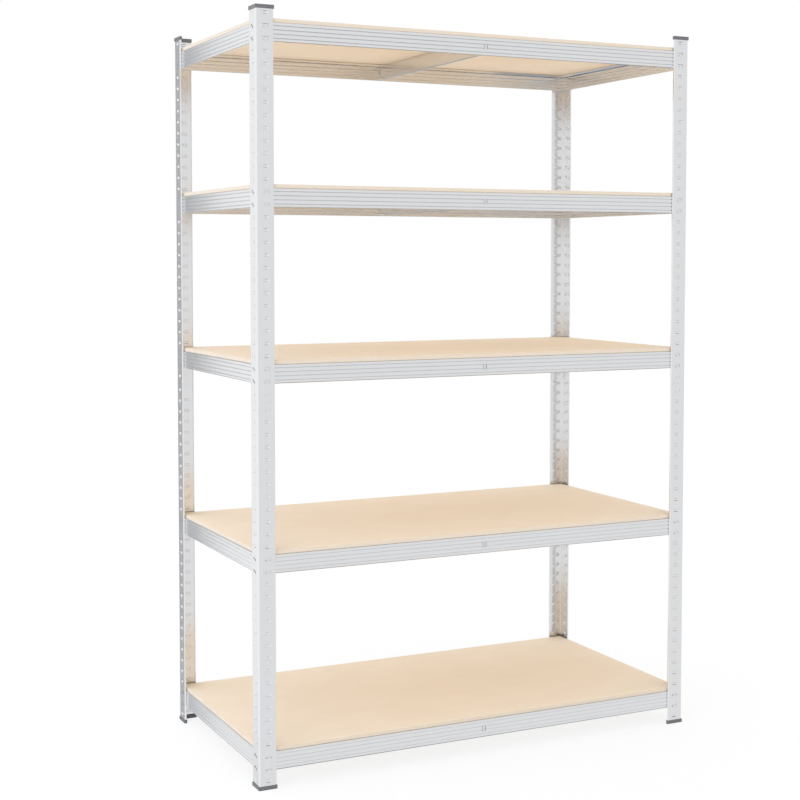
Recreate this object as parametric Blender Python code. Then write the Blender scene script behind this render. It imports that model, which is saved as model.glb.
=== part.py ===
"""Boltless steel shelving with five tiers, 1190 x 603 x 1802 mm, in metres with +Z up.

Four slotted angle posts, each of two halves joined by a splice plate, carry ribbed beams on hooks.
Two long and two short beams and a centre bar make a tier, and a loose board lies on them.
The origin is on the floor under the middle of the unit, and the front faces -Y.
"""

import math

import bmesh
import bpy
from mathutils import Matrix, Vector

# Overall sizes, over the outer faces of the posts
UNIT_WIDTH = 1.190
UNIT_DEPTH = 0.603
POST_HALF_LENGTH = 0.8975

# Clearance between pieces that rest on each other or fit into each other
FIT_GAP = 0.0003

# Posts: an angle with a stiffening lip turned in along both free edges
POST_WING = 0.043
POST_SHEET = 0.0012
POST_LIP = 0.0045
POST_BEND_RADIUS = 0.003
POST_BEND_STEPS = 2

# Slots in both wings of a post, counted from the seam between its halves
SLOT_PITCH = 0.0288
SLOT_SEAM_MARGIN = 0.018
SLOT_FREE_MARGIN = 0.0155
SLOT_WIDTH = 0.016
SLOT_HEIGHT = 0.0068
SLOT_INSET = 0.0233

# Hooks that reach out through the slots and hang over their lower edges
HOOK_WIDTH = 0.0072
HOOK_TONGUE = 0.0022
HOOK_DROP = 0.003
HOOK_LIP = 0.001

# Beams: a roll-formed web with grooves, and a flange at the top with its edge turned down
BEAM_EDGE = 0.0075
BEAM_RISE = 0.0007
BEAM_SHEET = 0.0016
BEAM_FLANGE = 0.015
BEAM_RETURN = 0.006
GROOVE_COUNT = 4
GROOVE_PITCH = 0.0095
GROOVE_WIDTH = 0.0026
GROOVE_DEPTH = 0.0008
MITRE_GAP = 0.0005

# Centre bar under each board, with a tab at both ends in a slot of the long beam
BAR_HEIGHT = 0.040
BAR_SHEET = 0.0012
BAR_FLANGE = 0.012
BAR_TAB_HEIGHT = 0.006
BAR_SLOT_WIDTH = 0.007

# Boards
BOARD_THICKNESS = 0.009
BOARD_STEP_BACK = 0.002

# Splice plates behind the seam of each post
SPLICE_WIDTH = 0.030
SPLICE_OVERLAP = 0.012
SPLICE_SHEET = 0.0012

# Caps on the post tops, and feet with a thicker floor
CAP_WALL = 0.0012
CAP_FLOOR = 0.0017
FOOT_FLOOR = 0.0042
CAP_HEIGHT = 0.0088

# Lower slot of the pair that carries each tier, from the top tier down, counted upwards in its half
TIER_SLOTS = (("upper", -3), ("upper", 15), ("upper", 1), ("lower", 17), ("lower", 1))

# Colours as base colour, roughness and metallic value
GALVANISED_STEEL = ((0.66, 0.67, 0.68), 0.45, 0.85)
RAW_BOARD = ((0.78, 0.62, 0.42), 0.85, 0.0)
GREY_PLASTIC = ((0.17, 0.17, 0.18), 0.6, 0.0)

# Sizes that follow from the ones above
BEAM_HEIGHT = SLOT_PITCH + 2 * BEAM_EDGE
BEAM_SETBACK = POST_LIP + FIT_GAP
BOARD_SETBACK = BEAM_SETBACK + BOARD_STEP_BACK
POST_BOTTOM = FOOT_FLOOR + FIT_GAP
SEAM_BOTTOM = POST_BOTTOM + POST_HALF_LENGTH
SEAM_TOP = SEAM_BOTTOM + FIT_GAP
POST_TOP = SEAM_TOP + POST_HALF_LENGTH

# Corner of each post, its turn about Z from the front left one, and the beam faces around the unit
CORNERS = {
    "front_left": (-1, -1, 0),
    "front_right": (1, -1, 90),
    "back_right": (1, 1, 180),
    "back_left": (-1, 1, 270),
}
SIDES = {"front": 0, "right": 90, "back": 180, "left": 270}


def clear_scene():
    """Remove every object of the open file."""
    for item in list(bpy.data.objects):
        bpy.data.objects.remove(item, do_unlink=True)


def make_material(name, finish):
    """Return a Principled material from a base colour, a roughness and a metallic value."""
    colour, roughness, metallic = finish
    material = bpy.data.materials.new(name)
    material.use_nodes = True
    shader = material.node_tree.nodes["Principled BSDF"]
    shader.inputs["Base Color"].default_value = (*colour, 1.0)
    shader.inputs["Roughness"].default_value = roughness
    shader.inputs["Metallic"].default_value = metallic
    return material


def loft_solid(start_ring, end_ring):
    """Return a bmesh solid between two rings of points that match one to one."""
    solid = bmesh.new()
    start = [solid.verts.new(point) for point in start_ring]
    end = [solid.verts.new(point) for point in end_ring]
    count = len(start)
    for i in range(count):
        j = (i + 1) % count
        solid.faces.new((start[i], start[j], end[j], end[i]))
    solid.faces.new(start[::-1])
    solid.faces.new(end)
    bmesh.ops.recalc_face_normals(solid, faces=solid.faces)
    return solid


def box_solid(low, high):
    """Return a bmesh box between two corners."""
    low = Vector(low)
    high = Vector(high)
    solid = bmesh.new()
    size = Matrix.Diagonal((*(high - low), 1.0))
    bmesh.ops.create_cube(solid, size=1.0, matrix=Matrix.Translation((low + high) / 2) @ size)
    return solid


def to_mesh(solids, name):
    """Gather bmesh solids that don't touch in one mesh, and free them."""
    gathered = bmesh.new()
    for solid in solids:
        piece = bpy.data.meshes.new(name)
        solid.to_mesh(piece)
        solid.free()
        gathered.from_mesh(piece)
        bpy.data.meshes.remove(piece)
    mesh = bpy.data.meshes.new(name)
    gathered.to_mesh(mesh)
    gathered.free()
    return mesh


def combine(mesh, solids, operation):
    """Return the mesh after a Boolean with solids that don't touch each other."""
    base = bpy.data.objects.new("base", mesh)
    tool = bpy.data.objects.new("tool", to_mesh(solids, "tool"))
    for item in (base, tool):
        bpy.context.scene.collection.objects.link(item)
    boolean = base.modifiers.new("combine", "BOOLEAN")
    boolean.solver = "EXACT"
    boolean.operation = operation
    boolean.object = tool
    graph = bpy.context.evaluated_depsgraph_get()
    result = bpy.data.meshes.new_from_object(base.evaluated_get(graph))
    result.name = mesh.name
    for item in (base, tool):
        spent = item.data
        bpy.data.objects.remove(item, do_unlink=True)
        bpy.data.meshes.remove(spent)
    return result


def place(name, mesh, material, location, turn=0.0, parent=None, upside_down=False):
    """Add one named piece that shares its mesh with its copies.

    Upside down means half a turn about the line between +X and +Y, which swaps the wings of an angle.
    """
    piece = bpy.data.objects.new(name, mesh)
    bpy.context.scene.collection.objects.link(piece)
    if not mesh.materials:
        mesh.materials.append(material)
    piece.location = location
    if upside_down:
        piece.rotation_euler = (math.pi, 0.0, math.radians(turn + 90.0))
    else:
        piece.rotation_euler = (0.0, 0.0, math.radians(turn))
    piece.parent = parent
    return piece


def slot_distances():
    """Return the distances of the slots' middles from the seam end of a half post."""
    row = POST_HALF_LENGTH - SLOT_SEAM_MARGIN - SLOT_FREE_MARGIN
    count = int(row / SLOT_PITCH + 1e-6) + 1
    return [SLOT_SEAM_MARGIN + i * SLOT_PITCH for i in range(count)]


def tier_height(half, slot):
    """Return the height of the middle of a tier's beams."""
    if half == "upper":
        heights = [SEAM_TOP + distance for distance in slot_distances()]
    else:
        heights = [SEAM_BOTTOM - distance for distance in reversed(slot_distances())]
    return heights[slot] + SLOT_PITCH / 2 + BEAM_RISE


def post_outline():
    """Return the angle section with its corner at the origin and its wings along +X and +Y."""
    bend = []
    for i in range(POST_BEND_STEPS + 1):
        angle = math.radians(180 + 90 * i / POST_BEND_STEPS)
        bend.append((POST_BEND_RADIUS * (1 + math.cos(angle)), POST_BEND_RADIUS * (1 + math.sin(angle))))
    lip_inside = POST_WING - POST_SHEET
    front_lip = [(POST_WING, 0.0), (POST_WING, POST_LIP), (lip_inside, POST_LIP), (lip_inside, POST_SHEET)]
    side_lip = [(y, x) for x, y in reversed(front_lip)]
    return bend + front_lip + [(POST_SHEET, POST_SHEET)] + side_lip


def half_post_mesh():
    """Return a half post with its seam end at z = 0, its other end up and a row of slots in both wings."""
    outline = post_outline()
    low = [(x, y, 0.0) for x, y in outline]
    high = [(x, y, POST_HALF_LENGTH) for x, y in outline]
    cutters = []
    for z in slot_distances():
        near = (SLOT_INSET - SLOT_WIDTH / 2, -POST_SHEET, z - SLOT_HEIGHT / 2)
        far = (SLOT_INSET + SLOT_WIDTH / 2, 2 * POST_SHEET, z + SLOT_HEIGHT / 2)
        cutters.append(box_solid(near, far))
        cutters.append(box_solid((near[1], near[0], near[2]), (far[1], far[0], far[2])))
    return combine(to_mesh([loft_solid(low, high)], "half_post"), cutters, "DIFFERENCE")


def hook_solid(middle, slot_middle, root, reach):
    """Return a hook for the slot at height slot_middle.

    It stands out along -Y from a plate whose outer face is at y = 0, with its root inside the plate.
    The outer face of the post is at y = -reach.
    """
    underside = slot_middle - SLOT_HEIGHT / 2 + FIT_GAP
    top = underside + HOOK_TONGUE
    tip = slot_middle - SLOT_HEIGHT / 2 - HOOK_DROP
    lip_inside = -reach - FIT_GAP
    lip_outside = lip_inside - HOOK_LIP
    side = [
        (root, top),
        (lip_outside, top),
        (lip_outside, tip),
        (lip_inside, tip),
        (lip_inside, underside),
        (root, underside),
    ]
    left = [(middle - HOOK_WIDTH / 2, y, z) for y, z in side]
    right = [(middle + HOOK_WIDTH / 2, y, z) for y, z in side]
    return loft_solid(left, right)


def beam_outline():
    """Return the beam section as (y, z): the grooved outer face is at y = 0 and the flange runs to +Y."""
    half = BEAM_HEIGHT / 2
    web = [(0.0, half)]
    for i in range(GROOVE_COUNT):
        z = GROOVE_PITCH * ((GROOVE_COUNT - 1) / 2 - i)
        web.append((0.0, z + GROOVE_WIDTH / 2))
        web.append((GROOVE_DEPTH, z))
        web.append((0.0, z - GROOVE_WIDTH / 2))
    web.append((0.0, -half))
    inside = [
        (BEAM_SHEET, -half),
        (BEAM_SHEET, half - BEAM_SHEET),
        (BEAM_FLANGE - BEAM_SHEET, half - BEAM_SHEET),
        (BEAM_FLANGE - BEAM_SHEET, half - BEAM_RETURN),
    ]
    lip = [(BEAM_FLANGE, half - BEAM_RETURN), (BEAM_FLANGE, half)]
    return web + inside + lip


def beam_mesh(name, unit_length, has_bar_slots):
    """Return a beam along X, mitred at both ends, with two hooks at each end.

    unit_length is the size of the unit over the posts along this beam. The outer face is at y = 0.
    """
    reach = unit_length / 2 - BEAM_SETBACK - MITRE_GAP
    left = [(-reach + y, y, z) for y, z in beam_outline()]
    right = [(reach - y, y, z) for y, z in beam_outline()]
    mesh = to_mesh([loft_solid(left, right)], name)

    hook_place = unit_length / 2 - SLOT_INSET
    hooks = []
    for x in (-hook_place, hook_place):
        for step in (-SLOT_PITCH / 2, SLOT_PITCH / 2):
            hooks.append(hook_solid(x, step - BEAM_RISE, BEAM_SHEET / 2, BEAM_SETBACK))
    mesh = combine(mesh, hooks, "UNION")

    if has_bar_slots:
        half_width = BAR_SLOT_WIDTH / 2
        half_height = BAR_TAB_HEIGHT / 2 + FIT_GAP
        slot = box_solid((-half_width, -BEAM_SHEET, -half_height), (half_width, 2 * BEAM_SHEET, half_height))
        mesh = combine(mesh, [slot], "DIFFERENCE")
    return mesh


def bar_mesh():
    """Return the centre bar along Y, with its top level with the beams' and z = 0 at their middle."""
    top = BEAM_HEIGHT / 2
    bottom = top - BAR_HEIGHT
    body_end = UNIT_DEPTH / 2 - BEAM_SETBACK - BEAM_FLANGE - FIT_GAP
    neck_end = UNIT_DEPTH / 2 - BEAM_SETBACK - BEAM_SHEET - FIT_GAP
    tab_end = UNIT_DEPTH / 2 - BEAM_SETBACK
    neck_top = top - BEAM_RETURN - FIT_GAP
    tab = BAR_TAB_HEIGHT / 2
    back_edge = [
        (neck_end, bottom),
        (neck_end, -tab),
        (tab_end, -tab),
        (tab_end, tab),
        (neck_end, tab),
        (neck_end, neck_top),
        (body_end, neck_top),
        (body_end, top),
    ]
    front_edge = [(-y, z) for y, z in reversed(back_edge)]
    side = back_edge + front_edge
    left = [(-BAR_SHEET / 2, y, z) for y, z in side]
    right = [(BAR_SHEET / 2, y, z) for y, z in side]
    mesh = to_mesh([loft_solid(left, right)], "centre_bar")
    flange = box_solid((0.0, -body_end, top - BAR_SHEET), (BAR_FLANGE, body_end, top))
    return combine(mesh, [flange], "UNION")


def splice_mesh():
    """Return the plate behind a seam, with its outer face at y = 0 and the upper half post's end at z = 0.

    It hooks in the last slot of the lower half and in the first slot of the upper half.
    """
    slots = (SLOT_SEAM_MARGIN, -FIT_GAP - SLOT_SEAM_MARGIN)
    reach = SLOT_HEIGHT / 2 + SPLICE_OVERLAP
    low = (-SPLICE_WIDTH / 2, 0.0, slots[1] - reach)
    high = (SPLICE_WIDTH / 2, SPLICE_SHEET, slots[0] + reach)
    mesh = to_mesh([box_solid(low, high)], "splice")
    hooks = [hook_solid(0.0, z, SPLICE_SHEET / 2, POST_SHEET + FIT_GAP) for z in slots]
    return combine(mesh, hooks, "UNION")


def angle_ring(inner, outer, long_end, z):
    """Return an L-shaped ring of points: outer faces at -outer, inner faces at inner, ends at long_end."""
    corners = [
        (-outer, -outer),
        (long_end, -outer),
        (long_end, inner),
        (inner, inner),
        (inner, long_end),
        (-outer, long_end),
    ]
    return [(x, y, z) for x, y in corners]


def cap_mesh(name, thickness, opens_up):
    """Return the moulding for a post's end, with z = 0 at the end of the post and its pocket over it."""
    way = 1 if opens_up else -1
    pocket = (POST_LIP + FIT_GAP, FIT_GAP, POST_WING + FIT_GAP)
    shell = [size + CAP_WALL for size in pocket]
    floor = -way * FIT_GAP
    rim = floor + way * (CAP_HEIGHT - thickness)
    body = loft_solid(angle_ring(*shell, floor - way * thickness), angle_ring(*shell, rim))
    hollow = loft_solid(angle_ring(*pocket, floor), angle_ring(*pocket, rim + way * thickness))
    return combine(to_mesh([body], name), [hollow], "DIFFERENCE")


def build_posts(materials, root):
    """Place the half posts, splices, caps and feet at the four corners."""
    half_post = half_post_mesh()
    splice = splice_mesh()
    foot = cap_mesh("foot", FOOT_FLOOR, True)
    cap = cap_mesh("cap", CAP_FLOOR, False)
    for corner, (side_x, side_y, turn) in CORNERS.items():
        x = side_x * UNIT_WIDTH / 2
        y = side_y * UNIT_DEPTH / 2
        steel = materials["steel"]
        place(f"{corner}_post_lower", half_post, steel, (x, y, SEAM_BOTTOM), turn, root, upside_down=True)
        place(f"{corner}_post_upper", half_post, steel, (x, y, SEAM_TOP), turn, root)
        place(f"{corner}_foot", foot, materials["plastic"], (x, y, POST_BOTTOM), turn, root)
        place(f"{corner}_cap", cap, materials["plastic"], (x, y, POST_TOP), turn, root)

        splice_x = side_x * (UNIT_WIDTH / 2 - SLOT_INSET)
        splice_y = side_y * (UNIT_DEPTH / 2 - POST_SHEET - FIT_GAP)
        splice_turn = 0.0 if side_y < 0 else 180.0
        place(f"{corner}_splice", splice, steel, (splice_x, splice_y, SEAM_TOP), splice_turn, root)


def build_tier(number, height, meshes, materials, root):
    """Place the four beams, the centre bar and the board of one tier, whose beams' middle is at height."""
    for side, turn in SIDES.items():
        is_long = side in ("front", "back")
        distance = (UNIT_DEPTH if is_long else UNIT_WIDTH) / 2 - BEAM_SETBACK
        location = Matrix.Rotation(math.radians(turn), 3, "Z") @ Vector((0.0, -distance, height))
        mesh = meshes["long_beam"] if is_long else meshes["short_beam"]
        place(f"shelf_{number}_{side}_beam", mesh, materials["steel"], location, turn, root)
    place(f"shelf_{number}_centre_bar", meshes["bar"], materials["steel"], (0.0, 0.0, height), 0.0, root)
    board_bottom = height + BEAM_HEIGHT / 2 + FIT_GAP
    place(f"shelf_{number}_board", meshes["board"], materials["board"], (0.0, 0.0, board_bottom), 0.0, root)


def main():
    """Build the whole unit."""
    clear_scene()
    materials = {
        "steel": make_material("galvanised_steel", GALVANISED_STEEL),
        "board": make_material("raw_board", RAW_BOARD),
        "plastic": make_material("grey_plastic", GREY_PLASTIC),
    }
    root = bpy.data.objects.new("shelving", None)
    bpy.context.scene.collection.objects.link(root)

    half_board = (UNIT_WIDTH / 2 - BOARD_SETBACK, UNIT_DEPTH / 2 - BOARD_SETBACK)
    board = box_solid((-half_board[0], -half_board[1], 0.0), (*half_board, BOARD_THICKNESS))
    meshes = {
        "long_beam": beam_mesh("long_beam", UNIT_WIDTH, True),
        "short_beam": beam_mesh("short_beam", UNIT_DEPTH, False),
        "bar": bar_mesh(),
        "board": to_mesh([board], "board"),
    }
    build_posts(materials, root)
    for number, (half, slot) in enumerate(TIER_SLOTS, start=1):
        build_tier(number, tier_height(half, slot), meshes, materials, root)


main()
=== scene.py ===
"""Looks of the boltless shelving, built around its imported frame.

Every steel piece is a finer sheet-metal mesh that takes the place of its plain solid, and the boards,
caps and feet are remade with soft edges. Lengths are in metres, +Z is up and the front faces -Y.
"""

import math

import bmesh
import bpy
from mathutils import Matrix, Vector


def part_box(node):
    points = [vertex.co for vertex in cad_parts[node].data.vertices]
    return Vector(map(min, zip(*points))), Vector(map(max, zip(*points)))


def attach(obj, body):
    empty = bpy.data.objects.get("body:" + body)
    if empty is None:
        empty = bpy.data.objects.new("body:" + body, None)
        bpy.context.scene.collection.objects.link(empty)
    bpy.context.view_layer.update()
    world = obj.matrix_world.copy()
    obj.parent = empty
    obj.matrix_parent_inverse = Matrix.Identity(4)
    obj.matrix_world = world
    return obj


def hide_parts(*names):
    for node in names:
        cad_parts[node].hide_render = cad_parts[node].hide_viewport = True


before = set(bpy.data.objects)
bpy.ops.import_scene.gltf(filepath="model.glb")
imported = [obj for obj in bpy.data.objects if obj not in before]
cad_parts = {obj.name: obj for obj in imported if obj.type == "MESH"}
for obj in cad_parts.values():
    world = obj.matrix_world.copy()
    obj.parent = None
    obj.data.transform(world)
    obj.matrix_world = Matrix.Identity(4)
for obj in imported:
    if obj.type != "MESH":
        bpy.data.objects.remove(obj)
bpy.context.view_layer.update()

# Clearance between pieces that rest on each other, and distance within which points count as one
FIT_GAP = 0.0003
MERGE_DISTANCE = 1e-7

# Places of a point's X, Y and Z
X_AXIS, Y_AXIS, Z_AXIS = range(3)

# Steps of bends and of eased edges, and the angle above which an edge looks sharp
ARC_STEPS = 5
EDGE_STEPS = 3
CREASE_ANGLE = math.radians(35)

# Post section: an angle with a lip turned in along both free edges
POST_WING = 0.043
POST_SHEET = 0.0012
POST_LIP = 0.0045
POST_BEND = 0.003
LIP_BEND = 0.0017

# Windows in both wings of a post, counted from the seam between its halves
WINDOW_COUNT = 31
WINDOW_PITCH = 0.0288
WINDOW_SEAM_MARGIN = 0.018
WINDOW_INSET = 0.0233
WINDOW_WIDTH = 0.016
WINDOW_HEIGHT = 0.0068
WINDOW_CORNER = 0.0008
WINDOW_CORNER_STEPS = 3

# Cell of the wing around a window: half its width, and half the straight stretch at its sides
WINDOW_CELL = 0.012
WINDOW_LEDGE = 0.0018

# Windows that hold the hooks of the tiers, and the one that holds the splice's hook
TIER_WINDOWS = {"upper": {1, 2, 15, 16, 28, 29}, "lower": {12, 13, 28, 29}}
SPLICE_WINDOW = 0

# Bridge pressed in across each window that holds no hook. Its depth and the run of its slopes differ
# between wings that face the front or back and wings that face a side. Its long edges are rolled further in
BRIDGE_FORMS = {"front": (0.0016, 0.0062), "side": (0.0032, 0.0044)}
BRIDGE_STEPS = 6
BRIDGE_SLIT = 0.0001
BRIDGE_EDGE = 0.0009
BRIDGE_ROLL = 0.0008

# Hooks of the beams and splices
HOOK_WIDTH = 0.0072
HOOK_TONGUE = 0.0022
HOOK_DROP = 0.003
HOOK_LIP = 0.001
HOOK_BEND = 0.0009

# Pressed pad around each hook of a beam, just behind the wing, with a groove at both sides of the hook. Its
# half height and the depth of the grooves differ between long and short beams
PAD_HALF_WIDTH = 0.0108
PAD_SLOPE = 0.001
PAD_GAP = 0.0004
PAD_GROOVE_WIDTH = 0.0012
PAD_FORMS = {"long": (0.0029, 0.0004), "short": (0.0048, 0.0001)}

# Beams: web with rounded grooves and a rolled bottom edge, flange, and leaning edge turned down from it
BEAM_HEIGHT = 0.0438
BEAM_RISE = 0.0007
BEAM_SETBACK = POST_LIP + FIT_GAP
BEAM_SHEET = 0.001
BEAM_FLANGE = 0.015
BEAM_RETURN = 0.006
BEAM_LIP_LEAN = 0.0030
BEAM_BEND = 0.0015
BEAM_HEM = 0.0028
GROOVE_COUNT = 4
GROOVE_PITCH = 0.0095
GROOVE_WIDTH = 0.0028
GROOVE_DEPTH = 0.0010
GROOVE_STEPS = 8
MITRE_GAP = 0.0005

# Centre bars, with a turned-in lower edge
BAR_HEIGHT = 0.040
BAR_SHEET = 0.0012
BAR_FLANGE = 0.012
BAR_BEND = 0.0018
BAR_TURN = 0.0024

# Tab at both ends of a bar, which shows in a slot of the long beam, and half width and half height of the
# plate behind it
BAR_TAB_HEIGHT = 0.0130
BAR_TAB_REACH = (-0.0036, 0.0031)
BAR_TAB_RECESS = 0.0005
BAR_TAB_SHEET = 0.001
BAR_SLOT_WIDTH = 0.0095
BAR_SLOT_HEIGHT = BAR_TAB_HEIGHT + 2 * FIT_GAP
BAR_PLATE = (0.008, 0.0085)
BAR_PLATE_SETBACK = 0.0025

# Splice plates
SPLICE_WIDTH = 0.030
SPLICE_OVERLAP = 0.012
SPLICE_SHEET = 0.0012
SPLICE_CORNER = 0.003

# Boards
BOARD_CORNER = 0.0015
BOARD_EDGE = 0.0008

# Caps and feet
CAP_WALL = 0.0012
CAP_FLOOR = 0.0017
FOOT_FLOOR = 0.0042
CAP_HEIGHT = 0.0088
CAP_CORNER = 0.0011
CAP_EDGE = 0.0009

# Corner of each post as its sides in X and Y, and its turn about Z from the front left one
CORNERS = {
    "front_left": (-1, -1, 0),
    "front_right": (1, -1, 90),
    "back_right": (1, 1, 180),
    "back_left": (-1, 1, 270),
}
SIDES = {"front": 0, "right": 90, "back": 180, "left": 270}
TIERS = (1, 2, 3, 4, 5)

# Range that most noise values lie in, furthest move of a pattern by chance, and stretch of an even pattern
NOISE_RANGE = (0.25, 0.75)
CHANCE_MOVE = (7.3, 3.1, 5.7)
EVEN = (1.0, 1.0, 1.0)

# Sockets of a mix node that take and give a colour, which share their names with others
MIX_INPUTS = (6, 7)
MIX_OUTPUT = 2

# Materials: dark and light tones, ranges of roughness, and strength and distance of the bumps
STEEL_TONES = ((0.805, 0.812, 0.824), (0.837, 0.844, 0.854))
STEEL_ROUGHNESS = (0.18, 0.21)
STEEL_BUMP = (0.02, 0.0003)
GRAIN_ALONG = 0.12
GRAIN_ACROSS = 6.0
SPANGLE_SCALE = 45.0
SPANGLE_SHARE = 0.25
BOARD_FACE_TONES = ((0.885, 0.735, 0.545), (0.955, 0.828, 0.660))
BOARD_EDGE_TONES = ((0.69, 0.580, 0.440), (0.82, 0.715, 0.585))
BOARD_ROUGHNESS = (0.74, 0.9)
BOARD_BUMP = (0.15, 0.0003)
BOARD_FACE_SLOPE = 0.8
PLASTIC_TONES = ((0.112, 0.114, 0.118), (0.160, 0.162, 0.167))
PLASTIC_ROUGHNESS = (0.30, 0.42)
PLASTIC_BUMP = (0.25, 0.0002)
PLASTIC_SHINE = 0.75

# Light of the surroundings from the left and from the right
LEFT_LIGHT = (1.45, 1.58, 1.84)
RIGHT_LIGHT = (0.70, 0.60, 0.45)

# White surroundings as they show in reflections, and the parts of a direction over which they change. They
# are brighter to the left, brightest to the front left, and dark below, where the dark rises to the back
MIRRORED_LEVEL = 0.87
MIRRORED_LEFT = 1.04
MIRRORED_FRONT = 1.08
MIRRORED_GROUND = 0.16
LEFT_RANGE = (-0.4, 0.0)
FRONT_RANGE = (-0.3, 0.1)
GROUND_RANGE = (-0.85, -0.55)
GROUND_SLANT = 0.31

# Stage
LAMP_PLACE = (-2.0, -2.0, 1.1)
LAMP_TARGET = (-0.3, -0.3, 0.75)
LAMP_SIZE = (1.0, 1.8)
LAMP_POWER = 3.4
FLOOR_GLOW = 0.85
FLOOR_CORNERS = ((-30.0, -30.0, 0.0), (30.0, -30.0, 0.0), (30.0, 30.0, 0.0), (-30.0, 30.0, 0.0))
CARD_LEVEL = 0.43
CARD_CORNERS = ((-0.87, 0.9, -1.5), (-0.63, 0.9, -1.5), (-0.63, 0.9, 2.6), (-0.87, 0.9, 2.6))
WHITE = (1.0, 1.0, 1.0)

# Camera, for a square picture
CAMERA_PLACE = (-1.78877, -3.51572, 1.23517)
CAMERA_TURN = (86.9514, 0.0, -25.8117)
CAMERA_LENS = 67.6586
CAMERA_SHIFT = -0.08


def arc(centre, radius, start, end, steps):
    """Return points on an arc between two angles in degrees, both ends included."""
    points = []
    for i in range(steps + 1):
        angle = math.radians(start + (end - start) * i / steps)
        points.append((centre[0] + radius * math.cos(angle), centre[1] + radius * math.sin(angle)))
    return points


def rounded(corners, radius, steps):
    """Return a closed outline of right-angled corners with each corner rounded."""
    outline = []
    for i, corner in enumerate(corners):
        here = Vector(corner)
        back = (Vector(corners[i - 1]) - here).normalized()
        ahead = (Vector(corners[(i + 1) % len(corners)]) - here).normalized()
        middle = here + radius * (back + ahead)
        for step in range(steps + 1):
            angle = math.pi / 2 * step / steps
            point = middle - radius * (ahead * math.cos(angle) + back * math.sin(angle))
            outline.append((point.x, point.y))
    return outline


def eased(radius):
    """Return the (inset, distance from the face) steps of an eased edge, from its side to its face."""
    angles = [math.pi / 2 * step / EDGE_STEPS for step in range(EDGE_STEPS + 1)]
    return [(radius * (1 - math.cos(angle)), radius * (1 - math.sin(angle))) for angle in angles]


def grid(columns):
    """Return the quads between neighbouring columns of points."""
    quads = []
    for left, right in zip(columns, columns[1:]):
        for i in range(len(left) - 1):
            quads.append([left[i], right[i], right[i + 1], left[i + 1]])
    return quads


class Sheet:
    """The outer surface of a thin sheet, made of faces whose shared corners are merged.

    A hanging sheet is mirrored in Z, so that up becomes down.
    """

    def __init__(self, hangs=False):
        self.way = -1 if hangs else 1
        self.points = []
        self.faces = []
        self.numbers = {}

    def number(self, point):
        """Return the number of a point, which is new or already there."""
        key = tuple(round(value / MERGE_DISTANCE) for value in point)
        if key not in self.numbers:
            self.numbers[key] = len(self.points)
            self.points.append(point)
        return self.numbers[key]

    def add(self, faces):
        """Add faces, given counter-clockwise as seen from outside before any mirroring."""
        for face in faces:
            numbers = [self.number((x, y, self.way * z)) for x, y, z in face]
            self.faces.append(numbers[::self.way])

    def thickened(self, thickness):
        """Return the closed mesh of the sheet behind this surface."""
        mesh = bpy.data.meshes.new("sheet")
        mesh.from_pydata(self.points, [], self.faces)
        return evaluated(mesh, "SOLIDIFY", thickness=thickness, offset=-1.0)


def evaluated(mesh, kind, **settings):
    """Return the mesh after one modifier, and drop the mesh itself."""
    holder = bpy.data.objects.new("holder", mesh)
    bpy.context.scene.collection.objects.link(holder)
    modifier = holder.modifiers.new(kind.lower(), kind)
    for name, value in settings.items():
        setattr(modifier, name, value)
    graph = bpy.context.evaluated_depsgraph_get()
    result = bpy.data.meshes.new_from_object(holder.evaluated_get(graph))
    bpy.data.objects.remove(holder, do_unlink=True)
    bpy.data.meshes.remove(mesh)
    return result


def loft(rings):
    """Return a closed mesh through rings of points that match one to one, with both ends filled."""
    count = len(rings[0])
    points = [point for ring in rings for point in ring]
    faces = []
    for level in range(len(rings) - 1):
        for i in range(count):
            j = (i + 1) % count
            low = level * count
            faces.append((low + i, low + j, low + count + j, low + count + i))
    faces.append(tuple(range(count))[::-1])
    faces.append(tuple(range(len(points) - count, len(points))))
    mesh = bpy.data.meshes.new("loft")
    mesh.from_pydata(points, [], faces)
    outward = bmesh.new()
    outward.from_mesh(mesh)
    bmesh.ops.recalc_face_normals(outward, faces=outward.faces)
    outward.to_mesh(mesh)
    outward.free()
    return mesh


def prism(axis, outline, ends):
    """Return the closed mesh of an outline in two axes that is drawn out along the third."""
    return loft([[(*point[:axis], end, *point[axis:]) for point in outline] for end in ends])


def finished(name, *meshes):
    """Return one named mesh of all these, with creased edges and flats that shade as flat."""
    gathered = bmesh.new()
    for mesh in meshes:
        gathered.from_mesh(mesh)
        bpy.data.meshes.remove(mesh)
    whole = bpy.data.meshes.new(name)
    gathered.to_mesh(whole)
    gathered.free()
    whole.shade_smooth()
    whole.set_sharp_from_angle(angle=CREASE_ANGLE)
    whole = evaluated(whole, "WEIGHTED_NORMAL", keep_sharp=True)
    whole.name = name
    return whole


def window_ring():
    """Return the corner arcs of a window about its middle, from the lower near corner counter-clockwise."""
    width = WINDOW_WIDTH / 2 - WINDOW_CORNER
    height = WINDOW_HEIGHT / 2 - WINDOW_CORNER
    middles = [(-width, -height), (width, -height), (width, height), (-width, height)]
    starts = (180, 270, 0, 90)
    return [
        arc(middle, WINDOW_CORNER, start, start + 90, WINDOW_CORNER_STEPS)
        for middle, start in zip(middles, starts)
    ]


def window_border():
    """Return a cell's corners, each between the border points before and after it, counter-clockwise."""
    side = WINDOW_CELL
    top = WINDOW_PITCH / 2
    across = WINDOW_WIDTH / 2 - WINDOW_CORNER
    ledge = WINDOW_LEDGE
    return [
        ((-side, -ledge), (-side, -top), (-across, -top)),
        ((across, -top), (side, -top), (side, -ledge)),
        ((side, ledge), (side, top), (across, top)),
        ((-across, top), (-side, top), (-side, ledge)),
    ]


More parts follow.
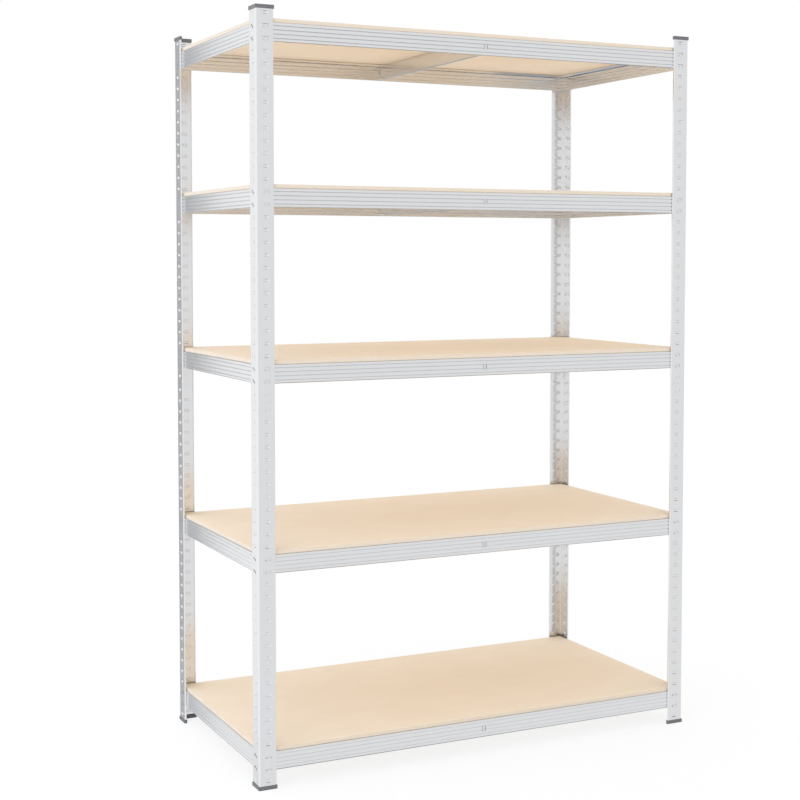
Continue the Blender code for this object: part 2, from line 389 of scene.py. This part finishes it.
def bridge_faces(deepest, run):
    """Return the faces of a bridge as (along, depth, up) points about the window's middle.

    The slope from each end of the window eases in and out.
    """
    end = WINDOW_WIDTH / 2
    half = WINDOW_HEIGHT / 2 - BRIDGE_SLIT
    flat = half - BRIDGE_EDGE
    tip = WINDOW_HEIGHT / 2 - WINDOW_CORNER
    right = [[(end, 0.0, -tip), (end, 0.0, tip)]]
    for step in range(1, BRIDGE_STEPS + 1):
        share = step / BRIDGE_STEPS
        along = end - run * share
        depth = deepest * share * share * (3 - 2 * share)
        edge = depth + BRIDGE_ROLL * min(1.0, 2 * share)
        section = [(edge, -half), (depth, -flat), (depth, flat), (edge, half)]
        right.append([(along, inward, up) for inward, up in section])
    left = [[(-along, depth, up) for along, depth, up in column] for column in right]
    first, *columns, last = left + right[::-1]
    left_end = [first[0], *columns[0], first[1]]
    right_end = [columns[-1][0], *last, *columns[-1][:0:-1]]
    return [left_end, *grid(columns), right_end]


def window_faces():
    """Return the faces around a window as (along, depth, up) points about its middle."""
    ring = window_ring()
    border = window_border()
    flats = []
    for i, (before, corner, after) in enumerate(border):
        bend = ring[i]
        following = (i + 1) % len(border)
        flats.append([before, corner, bend[0]])
        flats += [[corner, far, near] for near, far in zip(bend, bend[1:])]
        flats.append([corner, after, bend[-1]])
        flats.append([after, border[following][0], ring[following][0], bend[-1]])
    return [[(along, 0.0, up) for along, up in flat] for flat in flats]


def wing_faces(half, faces_side, middles, length):
    """Return the windowed part of a half post's wing as faces of (along, depth, up) points."""
    hooked = TIER_WINDOWS[half] if faces_side else TIER_WINDOWS[half] | {SPLICE_WINDOW}
    bridge = bridge_faces(*BRIDGE_FORMS["side" if faces_side else "front"])
    around = window_faces()
    across = WINDOW_WIDTH / 2 - WINDOW_CORNER
    columns = [WINDOW_INSET + step for step in (-WINDOW_CELL, -across, across, WINDOW_CELL)]
    faces = []
    for ends in ((0.0, middles[0] - WINDOW_PITCH / 2), (middles[-1] + WINDOW_PITCH / 2, length)):
        faces += grid([[(along, 0.0, up) for up in ends] for along in columns])
    for i, middle in enumerate(middles):
        for face in around if i in hooked else around + bridge:
            faces.append([(along + WINDOW_INSET, depth, up + middle) for along, depth, up in face])
    return faces


def half_post_mesh(name, half, side_wing):
    """Return a half post with its seam end at z = 0 and its corner at the origin.

    The wings lie along +X (number 0) and +Y (number 1). side_wing is the number of the one that faces left
    or right, whose windows hold no splice hook.
    """
    low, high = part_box(f"front_left_post_{half}")
    length = high.z - low.z
    middles = [WINDOW_SEAM_MARGIN + i * WINDOW_PITCH for i in range(WINDOW_COUNT)]
    levels = [0.0, middles[0] - WINDOW_PITCH / 2]
    for middle in middles:
        levels += [middle - WINDOW_LEDGE, middle + WINDOW_LEDGE, middle + WINDOW_PITCH / 2]
    levels.append(length)

    sheet = Sheet(hangs=half == "lower")
    near = WINDOW_INSET - WINDOW_CELL
    far = WINDOW_INSET + WINDOW_CELL
    lip = arc((POST_WING - LIP_BEND, LIP_BEND), LIP_BEND, -90, 0, ARC_STEPS)
    front_edge = [(far, 0.0), *lip, (POST_WING, POST_LIP)]
    side_edge = [(y, x) for x, y in reversed(front_edge)]
    bend = arc((POST_BEND, POST_BEND), POST_BEND, 180, 270, ARC_STEPS)
    for path in (side_edge, [(0.0, near), *bend, (near, 0.0)], front_edge):
        sheet.add(grid([[(x, y, z) for z in levels] for x, y in path]))

    sheet.add(wing_faces(half, side_wing == 0, middles, length))
    for face in wing_faces(half, side_wing == 1, middles, length):
        sheet.add([[(depth, along, up) for along, depth, up in reversed(face)]])
    return finished(name, sheet.thickened(POST_SHEET))


def hook_mesh(middle, slot_middle, root, reach):
    """Return a hook that stands out along -Y and hangs over a wing whose outer face is at y = -reach."""
    underside = slot_middle - WINDOW_HEIGHT / 2 + FIT_GAP
    top = underside + HOOK_TONGUE
    tip = slot_middle - WINDOW_HEIGHT / 2 - HOOK_DROP
    lip_inside = -reach - FIT_GAP
    lip_outside = lip_inside - HOOK_LIP
    shoulder = arc((lip_outside + HOOK_BEND, top - HOOK_BEND), HOOK_BEND, 90, 180, EDGE_STEPS)
    inside = [(lip_outside, tip), (lip_inside, tip), (lip_inside, underside), (root, underside)]
    sides = (middle - HOOK_WIDTH / 2, middle + HOOK_WIDTH / 2)
    return prism(X_AXIS, [(root, top), *shoulder, *inside], sides)


def pad_mesh(middle, slot_middle, half_height, groove_depth):
    """Return the pad around a hook of a beam, which fills the room between the web and the post's wing."""
    root = BEAM_SHEET / 2
    front = POST_SHEET + PAD_GAP - BEAM_SETBACK
    floor = front + groove_depth
    near = HOOK_WIDTH / 2
    far = near + PAD_GROOVE_WIDTH
    half = [(near, front), (near, floor), (far, floor), (far, front)]
    half += [(PAD_HALF_WIDTH - PAD_SLOPE, front), (PAD_HALF_WIDTH, root)]
    plan = half[::-1] + [(-x, y) for x, y in half]
    levels = (slot_middle - half_height, slot_middle + half_height)
    return prism(Z_AXIS, [(middle + x, y) for x, y in plan], levels)


def beam_profile():
    """Return the beam's outer surface as (y, z), from the turned-down edge over the flange and the web.

    It has a point at the top and bottom of the bar's slot, which lie between grooves.
    """
    half = BEAM_HEIGHT / 2
    slot_ends = {1: BAR_SLOT_HEIGHT / 2, GROOVE_COUNT - 1: -BAR_SLOT_HEIGHT / 2}
    path = [(BEAM_FLANGE - BEAM_LIP_LEAN, half - BEAM_RETURN)]
    path += arc((BEAM_FLANGE - BEAM_BEND, half - BEAM_BEND), BEAM_BEND, 0, 90, ARC_STEPS)
    path += arc((BEAM_BEND, half - BEAM_BEND), BEAM_BEND, 90, 180, ARC_STEPS)
    for i in range(GROOVE_COUNT):
        if i in slot_ends:
            path.append((0.0, slot_ends[i]))
        middle = GROOVE_PITCH * ((GROOVE_COUNT - 1) / 2 - i)
        for step in range(GROOVE_STEPS + 1):
            share = 2 * step / GROOVE_STEPS - 1
            depth = GROOVE_DEPTH * (1 + math.cos(math.pi * share)) / 2
            path.append((depth, middle - share * GROOVE_WIDTH / 2))
    path += arc((BEAM_HEM, BEAM_HEM - half), BEAM_HEM, 180, 270, ARC_STEPS)
    return path


def is_in_slot(point):
    """Tell whether a point of a long beam is in the bar's slot or on its edge."""
    x, _, z = point
    half_width = BAR_SLOT_WIDTH / 2 + MERGE_DISTANCE
    half_height = BAR_SLOT_HEIGHT / 2 + MERGE_DISTANCE
    return abs(x) < half_width and abs(z) < half_height


def beam_mesh(name, unit_length, is_long):
    """Return a beam along X with mitred ends and four hooks, and with a slot for the bar if it is long.

    Its outer face is at y = 0 and its middle at z = 0.
    """
    reach = unit_length / 2 - BEAM_SETBACK - MITRE_GAP
    slot = BAR_SLOT_WIDTH / 2
    faces = grid([[(x, y, z) for x in (-reach + y, -slot, slot, reach - y)] for y, z in beam_profile()])
    if is_long:
        faces = [face for face in faces if not all(is_in_slot(point) for point in face)]
    sheet = Sheet()
    sheet.add(faces)
    hook_place = unit_length / 2 - WINDOW_INSET
    hooks = []
    for x in (-hook_place, hook_place):
        for step in (-1, 1):
            slot_middle = step * WINDOW_PITCH / 2 - BEAM_RISE
            hooks.append(hook_mesh(x, slot_middle, BEAM_SHEET / 2, BEAM_SETBACK))
            hooks.append(pad_mesh(x, slot_middle, *PAD_FORMS["long" if is_long else "short"]))
    return finished(name, sheet.thickened(BEAM_SHEET), *hooks)


def bar_end(beam_face, way):
    """Return the turned tab at one end of a bar and the plate behind it."""
    meshes = []
    half_width, half_height = BAR_PLATE
    forms = (
        (BAR_TAB_REACH, BAR_TAB_RECESS, BAR_TAB_HEIGHT / 2),
        ((-half_width, half_width), BAR_PLATE_SETBACK, half_height),
    )
    for (left, right), setback, top in forms:
        outer = way * (beam_face - setback)
        inner = way * (beam_face - setback - BAR_TAB_SHEET)
        plan = [(right, inner), (right, outer), (left, outer), (left, inner)]
        meshes.append(prism(Z_AXIS, plan, (-top, top)))
    return meshes


def bar_mesh(unit_depth):
    """Return the centre bar along Y: a web, a bent flange at its top, a turned-in lower edge and ends."""
    top = BEAM_HEIGHT / 2
    bottom = top - BAR_HEIGHT
    half = BAR_SHEET / 2
    tab = BAR_TAB_HEIGHT / 2
    beam_face = unit_depth / 2 - BEAM_SETBACK
    body_end = beam_face - BEAM_FLANGE - FIT_GAP
    web_end = beam_face - 2 * BEAM_SHEET
    tab_end = beam_face - BAR_TAB_RECESS
    web_top = top - BEAM_RETURN - FIT_GAP
    web_bottom = bottom + BAR_TURN
    bend_bottom = top - BAR_BEND
    back_edge = [
        (web_end, web_bottom),
        (web_end, -tab),
        (tab_end, -tab),
        (tab_end, tab),
        (web_end, tab),
        (web_end, web_top),
        (body_end, web_top),
        (body_end, bend_bottom),
    ]
    web = prism(X_AXIS, back_edge + [(-y, z) for y, z in reversed(back_edge)], (-half, half))

    outside = arc((BAR_BEND - half, bend_bottom), BAR_BEND, 180, 90, ARC_STEPS)
    inside = arc((BAR_BEND - half, bend_bottom), BAR_BEND - BAR_SHEET, 90, 180, ARC_STEPS)
    section = outside + [(BAR_FLANGE, top), (BAR_FLANGE, top - BAR_SHEET)] + inside
    flange = prism(Y_AXIS, section, (-body_end, body_end))
    section = [(half, web_bottom), (-half, web_bottom)]
    section += [(BAR_TURN - half, bottom), (BAR_TURN + half, bottom)]
    edge = prism(Y_AXIS, section, (-web_end, web_end))
    return finished("centre_bar", web, flange, edge, *bar_end(beam_face, -1), *bar_end(beam_face, 1))


def splice_mesh():
    """Return the plate behind a seam, with its outer face at y = 0 and the upper half post from z = 0."""
    slots = (WINDOW_SEAM_MARGIN, -FIT_GAP - WINDOW_SEAM_MARGIN)
    reach = WINDOW_HEIGHT / 2 + SPLICE_OVERLAP
    side = SPLICE_WIDTH / 2
    low = slots[1] - reach
    high = slots[0] + reach
    outline = rounded([(-side, low), (side, low), (side, high), (-side, high)], SPLICE_CORNER, ARC_STEPS)
    plate = prism(Y_AXIS, outline, (0.0, SPLICE_SHEET))
    hooks = [hook_mesh(0.0, z, SPLICE_SHEET / 2, POST_SHEET + FIT_GAP) for z in slots]
    return finished("splice", plate, *hooks)


def angle_ring(sizes, inset, z):
    """Return a rounded L-shaped ring. sizes are its inner faces, its outer faces and its ends."""
    inner, outer, end = (size - inset for size in sizes)
    corners = [(-outer, -outer), (end, -outer), (end, inner), (inner, inner), (inner, end), (-outer, end)]
    return [(x, y, z) for x, y in rounded(corners, CAP_CORNER, EDGE_STEPS)]


def cap_mesh(name, thickness, opens_up):
    """Return the moulding for a post's end, with z = 0 at the end of the post and its pocket over it."""
    way = 1 if opens_up else -1
    pocket = (POST_LIP + FIT_GAP, FIT_GAP, POST_WING + FIT_GAP)
    shell = [size + CAP_WALL for size in pocket]
    floor = -way * FIT_GAP
    rim = floor + way * (CAP_HEIGHT - thickness)
    face = floor - way * thickness
    rings = [angle_ring(pocket, 0.0, floor), angle_ring(pocket, 0.0, rim), angle_ring(shell, 0.0, rim)]
    rings += [angle_ring(shell, inset, face + way * distance) for inset, distance in eased(CAP_EDGE)]
    return finished(name, loft(rings))


def board_mesh(half_width, half_depth, thickness):
    """Return a board with its underside at z = 0 and its edges and corners eased."""
    edge = eased(BOARD_EDGE)
    rings = []
    for inset, z in edge[::-1] + [(inset, thickness - distance) for inset, distance in edge]:
        x = half_width - inset
        y = half_depth - inset
        outline = rounded([(-x, -y), (x, -y), (x, y), (-x, y)], BOARD_CORNER, ARC_STEPS)
        rings.append([(*point, z) for point in outline])
    return finished("board", loft(rings))


def add_node(tree, kind, inputs=None, **settings):
    """Add a shader node, with settings on the node and values or links on its inputs."""
    node = tree.nodes.new(kind)
    for name, value in settings.items():
        setattr(node, name, value)
    for name, value in (inputs or {}).items():
        if isinstance(value, bpy.types.NodeSocket):
            tree.links.new(value, node.inputs[name])
        else:
            node.inputs[name].default_value = value
    return node


def calculate(tree, operation, *values):
    """Return the result of a calculation with values or links."""
    return add_node(tree, "ShaderNodeMath", dict(enumerate(values)), operation=operation).outputs[0]


def blend(tree, factor, first, second):
    """Return a colour between two others, which are links or colours."""
    inputs = {0: factor}
    for number, colour in zip(MIX_INPUTS, (first, second)):
        inputs[number] = colour if isinstance(colour, bpy.types.NodeSocket) else (*colour, 1.0)
    return add_node(tree, "ShaderNodeMix", inputs, data_type="RGBA").outputs[MIX_OUTPUT]


def moved(tree, value, old_range, new_range):
    """Return a value moved from one range to another, and held there."""
    names = ("From Min", "From Max", "To Min", "To Max")
    limits = dict(zip(names, (*old_range, *new_range)))
    return add_node(tree, "ShaderNodeMapRange", {"Value": value, **limits}).outputs["Result"]


def shifted_coordinates(tree):
    """Return coordinates along the piece's own axes, moved by a chance amount for each piece."""
    place = add_node(tree, "ShaderNodeTexCoord").outputs["Object"]
    chance = add_node(tree, "ShaderNodeObjectInfo").outputs["Random"]
    move = {0: CHANCE_MOVE, "Scale": chance}
    move = add_node(tree, "ShaderNodeVectorMath", move, operation="SCALE").outputs[0]
    return add_node(tree, "ShaderNodeVectorMath", {0: place, 1: move}, operation="ADD").outputs[0]


def noise(tree, place, stretch, scale, detail):
    """Return a noise value in stretched coordinates."""
    mapped = add_node(tree, "ShaderNodeMapping", {"Vector": place, "Scale": stretch})
    settings = {"Vector": mapped.outputs[0], "Scale": scale, "Detail": detail}
    return add_node(tree, "ShaderNodeTexNoise", settings).outputs["Fac"]


def mixture(tree, *parts):
    """Return the sum of noise values, each given with its share."""
    shares = [moved(tree, value, NOISE_RANGE, (0.0, share)) for value, share in parts]
    total = shares[0]
    for share in shares[1:]:
        total = calculate(tree, "ADD", total, share)
    return total


def new_material(name):
    """Return a new material and its shader, ready for links."""
    material = bpy.data.materials.new(name)
    material.use_nodes = True
    return material, material.node_tree, material.node_tree.nodes["Principled BSDF"]


def link_surface(tree, shader, colour, roughness, height, bump):
    """Link a colour and a roughness to a shader, with bumps of a strength and distance after a height."""
    strength, distance = bump
    settings = {"Strength": strength, "Distance": distance, "Height": height}
    normal = add_node(tree, "ShaderNodeBump", settings).outputs["Normal"]
    for name, link in (("Base Color", colour), ("Roughness", roughness), ("Normal", normal)):
        tree.links.new(link, shader.inputs[name])


def steel_material(name, grain):
    """Return galvanised sheet: a faint zinc spangle, rolling streaks along the piece and soft blotches."""
    material, tree, shader = new_material(name)
    place = shifted_coordinates(tree)
    streaks = noise(tree, place, grain, scale=14.0, detail=1.0)
    blotches = noise(tree, place, EVEN, scale=9.0, detail=2.0)
    cells = add_node(tree, "ShaderNodeTexVoronoi", {"Vector": place, "Scale": SPANGLE_SCALE})
    spangle = add_node(tree, "ShaderNodeSeparateColor", {"Color": cells.outputs["Color"]}).outputs["Red"]
    shade = mixture(tree, (streaks, 0.45), (blotches, 0.3))
    mixed = calculate(tree, "MULTIPLY_ADD", spangle, SPANGLE_SHARE, shade)
    roughness = moved(tree, mixed, NOISE_RANGE, STEEL_ROUGHNESS)
    link_surface(tree, shader, blend(tree, mixed, *STEEL_TONES), roughness, mixed, STEEL_BUMP)
    shader.inputs["Metallic"].default_value = 1.0
    return material


def board_material():
    """Return raw fibreboard: fine fibres on the faces and greyer, layered cut edges."""
    material, tree, shader = new_material("fibreboard")
    place = shifted_coordinates(tree)
    fibres = noise(tree, place, (1.0, 2.5, 1.0), scale=420.0, detail=4.0)
    clouds = noise(tree, place, (1.0, 1.6, 1.0), scale=11.0, detail=3.0)
    flecks = noise(tree, place, (1.0, 4.0, 1.0), scale=150.0, detail=2.0)
    layers = noise(tree, place, (0.4, 0.4, 5.0), scale=260.0, detail=3.0)
    mixed = mixture(tree, (fibres, 0.5), (clouds, 0.3), (flecks, 0.2))
    face = blend(tree, mixed, *BOARD_FACE_TONES)
    edge = blend(tree, layers, *BOARD_EDGE_TONES)
    normal = add_node(tree, "ShaderNodeNewGeometry").outputs["True Normal"]
    upward = add_node(tree, "ShaderNodeSeparateXYZ", {0: normal}).outputs["Z"]
    is_face = calculate(tree, "GREATER_THAN", calculate(tree, "ABSOLUTE", upward), BOARD_FACE_SLOPE)
    roughness = moved(tree, fibres, NOISE_RANGE, BOARD_ROUGHNESS)
    link_surface(tree, shader, blend(tree, is_face, edge, face), roughness, mixed, BOARD_BUMP)
    return material


def plastic_material():
    """Return dark grey moulded plastic with a fine eroded grain."""
    material, tree, shader = new_material("moulded_plastic")
    place = shifted_coordinates(tree)
    grain = noise(tree, place, EVEN, scale=1800.0, detail=2.0)
    clouds = noise(tree, place, EVEN, scale=60.0, detail=2.0)
    mixed = mixture(tree, (grain, 0.5), (clouds, 0.5))
    roughness = moved(tree, grain, NOISE_RANGE, PLASTIC_ROUGHNESS)
    link_surface(tree, shader, blend(tree, mixed, *PLASTIC_TONES), roughness, grain, PLASTIC_BUMP)
    shader.inputs["Specular IOR Level"].default_value = PLASTIC_SHINE
    return material


def dress(node, mesh, matrix, material, body="frame"):
    """Put a finer piece in place of a CAD node."""
    piece = bpy.data.objects.new(f"{node}_fine", mesh)
    bpy.context.scene.collection.objects.link(piece)
    if not mesh.materials:
        mesh.materials.append(material)
    piece.matrix_world = matrix
    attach(piece, body)
    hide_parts(node)


def turned(place, turn):
    """Return the matrix of a place and a turn about Z in degrees."""
    return Matrix.Translation(place) @ Matrix.Rotation(math.radians(turn), 4, "Z")


def dress_posts(half_unit, materials):
    """Make the half posts, splices, caps and feet at the four corners."""
    posts = {}
    for half in ("upper", "lower"):
        for side_wing in (0, 1):
            posts[half, side_wing] = half_post_mesh(f"half_post_{half}_{side_wing}", half, side_wing)
    splice = splice_mesh()
    cap = cap_mesh("cap", CAP_FLOOR, False)
    foot = cap_mesh("foot", FOOT_FLOOR, True)
    steel = materials["post"]
    plastic = materials["plastic"]
    for corner, (side_x, side_y, turn) in CORNERS.items():
        x = side_x * half_unit[0]
        y = side_y * half_unit[1]
        side_wing = 1 if turn % 180 == 0 else 0
        upper = posts["upper", side_wing]
        lower = posts["lower", side_wing]
        seam_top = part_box(f"{corner}_post_upper")[0].z
        seam_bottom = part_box(f"{corner}_post_lower")[1].z
        post_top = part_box(f"{corner}_post_upper")[1].z
        post_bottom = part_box(f"{corner}_post_lower")[0].z
        dress(f"{corner}_post_upper", upper, turned((x, y, seam_top), turn), steel)
        dress(f"{corner}_post_lower", lower, turned((x, y, seam_bottom), turn), steel)
        dress(f"{corner}_cap", cap, turned((x, y, post_top), turn), plastic)
        dress(f"{corner}_foot", foot, turned((x, y, post_bottom), turn), plastic)
        splice_x = side_x * (half_unit[0] - WINDOW_INSET)
        splice_y = side_y * (half_unit[1] - POST_SHEET - FIT_GAP)
        splice_place = turned((splice_x, splice_y, seam_top), 0 if side_y < 0 else 180)
        dress(f"{corner}_splice", splice, splice_place, steel)


def dress_tiers(half_unit, materials):
    """Make the beams, centre bars and boards of the five tiers."""
    long_beam = beam_mesh("long_beam", 2 * half_unit[0], True)
    short_beam = beam_mesh("short_beam", 2 * half_unit[1], False)
    bar = bar_mesh(2 * half_unit[1])
    board_low, board_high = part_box("shelf_1_board")
    board = board_mesh(board_high.x, board_high.y, board_high.z - board_low.z)
    for tier in TIERS:
        board_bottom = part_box(f"shelf_{tier}_board")[0].z
        height = board_bottom - FIT_GAP - BEAM_HEIGHT / 2
        for side, turn in SIDES.items():
            is_long = side in ("front", "back")
            distance = (half_unit[1] if is_long else half_unit[0]) - BEAM_SETBACK
            place = Matrix.Rotation(math.radians(turn), 3, "Z") @ Vector((0.0, -distance, height))
            mesh = long_beam if is_long else short_beam
            dress(f"shelf_{tier}_{side}_beam", mesh, turned(place, turn), materials["beam"])
        dress(f"shelf_{tier}_centre_bar", bar, turned((0.0, 0.0, height), 0), materials["bar"])
        place = turned((0.0, 0.0, board_bottom), 0)
        dress(f"shelf_{tier}_board", board, place, materials["board"], f"board_{tier}")


def stage_sheet(name, corners):
    """Return a four-cornered stage object and the empty node tree of its material."""
    mesh = bpy.data.meshes.new(name)
    mesh.from_pydata(corners, [], [(0, 1, 2, 3)])
    sheet = bpy.data.objects.new(name, mesh)
    bpy.context.scene.collection.objects.link(sheet)
    material = bpy.data.materials.new(name)
    material.use_nodes = True
    material.node_tree.nodes.clear()
    mesh.materials.append(material)
    return sheet, material.node_tree


def build_floor():
    """Make the white floor, which shows as white to the camera but keeps a faint shadow."""
    floor, tree = stage_sheet("floor", FLOOR_CORNERS)
    floor.visible_glossy = False
    seen = add_node(tree, "ShaderNodeLightPath").outputs["Is Camera Ray"]
    paper = add_node(tree, "ShaderNodeBsdfDiffuse", {"Color": (*WHITE, 1.0)})
    glow = add_node(tree, "ShaderNodeEmission", {"Strength": 1.0})
    share = calculate(tree, "MULTIPLY", seen, FLOOR_GLOW)
    mixed = {0: share, 1: paper.outputs[0], 2: glow.outputs[0]}
    mixed = add_node(tree, "ShaderNodeMixShader", mixed)
    add_node(tree, "ShaderNodeOutputMaterial", {"Surface": mixed.outputs[0]})


def build_card():
    """Make the grey card behind the left side, which shows only in reflections."""
    card, tree = stage_sheet("card", CARD_CORNERS)
    card.visible_camera = False
    card.visible_diffuse = False
    card.visible_shadow = False
    grey = add_node(tree, "ShaderNodeBsdfDiffuse", {"Color": (CARD_LEVEL, CARD_LEVEL, CARD_LEVEL, 1.0)})
    add_node(tree, "ShaderNodeOutputMaterial", {"Surface": grey.outputs[0]})


def build_world():
    """Make the white surroundings, which are graded in reflections and as a source of light."""
    world = bpy.data.worlds.new("white_room")
    bpy.context.scene.world = world
    world.use_nodes = True
    tree = world.node_tree
    background = tree.nodes["Background"]
    way = add_node(tree, "ShaderNodeTexCoord").outputs["Generated"]
    way = add_node(tree, "ShaderNodeSeparateXYZ", {0: way}).outputs
    light = blend(tree, moved(tree, way["X"], (-1.0, 1.0), (0.0, 1.0)), LEFT_LIGHT, RIGHT_LIGHT)
    left = moved(tree, way["Y"], FRONT_RANGE, (MIRRORED_FRONT, MIRRORED_LEFT))
    side = moved(tree, way["X"], LEFT_RANGE, (left, MIRRORED_LEVEL))
    rise = moved(tree, way["Y"], (0.0, 1.0), (0.0, GROUND_SLANT))
    height = calculate(tree, "SUBTRACT", way["Z"], rise)
    ground = moved(tree, height, GROUND_RANGE, (MIRRORED_GROUND, 1.0))
    mirrored = calculate(tree, "MULTIPLY", side, ground)
    path = add_node(tree, "ShaderNodeLightPath").outputs
    seen = blend(tree, path["Is Glossy Ray"], light, mirrored)
    seen = blend(tree, path["Is Camera Ray"], seen, WHITE)
    tree.links.new(seen, background.inputs["Color"])


def build_lamp():
    """Add a soft lamp at the front left, which shows neither to the camera nor in reflections."""
    light = bpy.data.lights.new("left_lamp", "AREA")
    light.shape = "RECTANGLE"
    light.size, light.size_y = LAMP_SIZE
    light.energy = LAMP_POWER
    lamp = bpy.data.objects.new("left_lamp", light)
    bpy.context.scene.collection.objects.link(lamp)
    lamp.location = LAMP_PLACE
    lamp.rotation_euler = (Vector(LAMP_TARGET) - Vector(LAMP_PLACE)).to_track_quat("-Z", "Y").to_euler()
    lamp.visible_camera = False
    lamp.visible_glossy = False


def build_camera():
    """Set the camera at the photograph's place."""
    data = bpy.data.cameras.new("camera")
    data.lens = CAMERA_LENS
    data.shift_y = CAMERA_SHIFT
    camera = bpy.data.objects.new("camera", data)
    bpy.context.scene.collection.objects.link(camera)
    camera.location = CAMERA_PLACE
    camera.rotation_euler = [math.radians(angle) for angle in CAMERA_TURN]
    bpy.context.scene.camera = camera


def main():
    """Dress the frame and set the stage."""
    low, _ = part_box("front_left_post_upper")
    half_unit = (-low.x, -low.y)
    materials = {
        "post": steel_material("post_steel", (GRAIN_ACROSS, GRAIN_ACROSS, GRAIN_ALONG)),
        "beam": steel_material("beam_steel", (GRAIN_ALONG, GRAIN_ACROSS, GRAIN_ACROSS)),
        "bar": steel_material("bar_steel", (GRAIN_ACROSS, GRAIN_ALONG, GRAIN_ACROSS)),
        "board": board_material(),
        "plastic": plastic_material(),
    }
    dress_posts(half_unit, materials)
    dress_tiers(half_unit, materials)
    build_floor()
    build_card()
    build_world()
    build_lamp()
    build_camera()
    bpy.context.scene.view_settings.view_transform = "Standard"


main()
